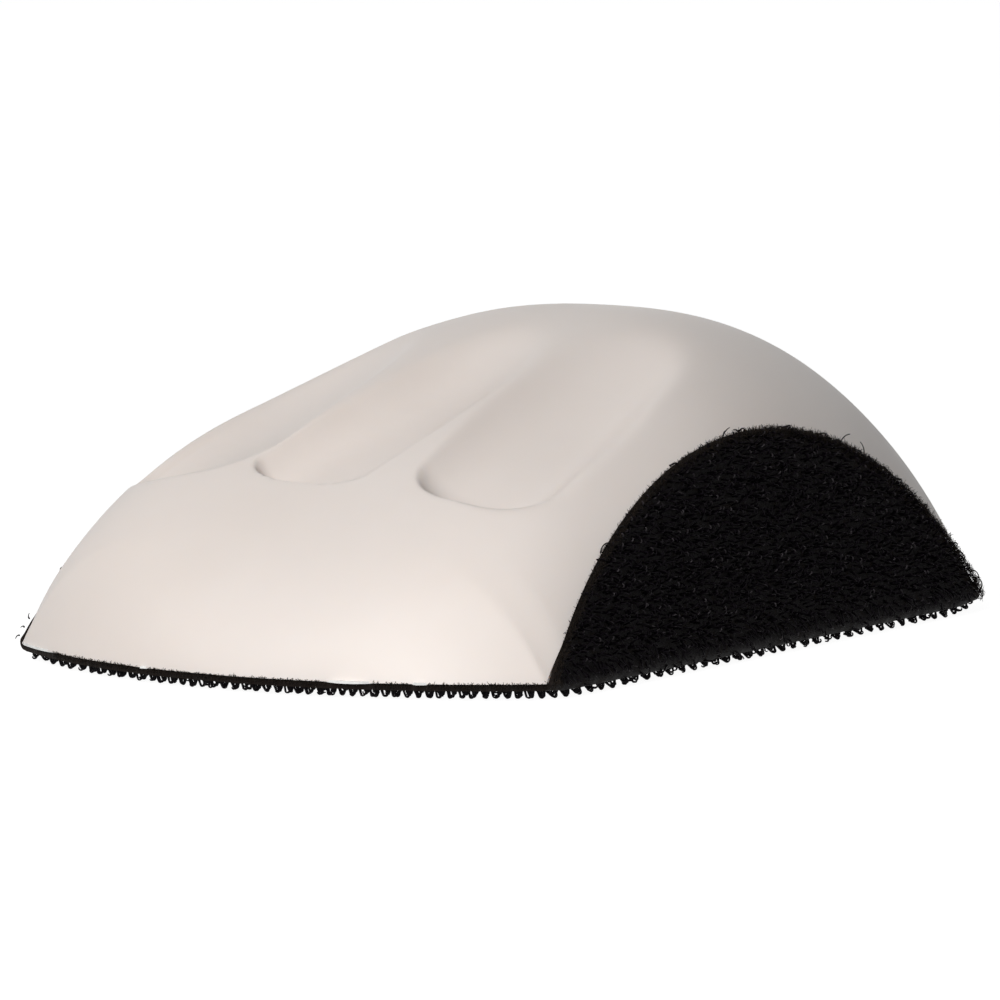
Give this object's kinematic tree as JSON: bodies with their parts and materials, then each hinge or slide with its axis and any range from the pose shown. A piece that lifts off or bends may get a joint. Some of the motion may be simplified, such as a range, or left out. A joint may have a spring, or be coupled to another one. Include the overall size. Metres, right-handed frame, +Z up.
{
  "type": "sanding block",
  "caption": "Palm-sized foam hand sanding block with a domed back, finger scoops, and a round hook disc folded over its flat base and leaning sides.",
  "frame": {"origin": "under the middle of the base, at the level of the hook tips that the block stands on", "axes": "+Z up from the base to the dome; -Y towards the finger end, +Y towards the heel of the hand; the folded sides face -X and +X"},
  "size_m": [0.0944, 0.15, 0.0473],
  "materials": {
    "cream_foam": "satin skin of moulded polyurethane foam, cream",
    "pale_adhesive": "thin pale adhesive film",
    "black_weave": "black woven nylon backing, brownish at its edge",
    "black_hooks": "black nylon hooks with small pale glints"
  },
  "bodies": {
    "root": {"grip_body": "cream_foam", "adhesive_film": "pale_adhesive", "hook_disc_backing": "black_weave", "base_hooks": "black_hooks", "left_side_hooks": "black_hooks", "right_side_hooks": "black_hooks"}
  },
  "joints": []
}
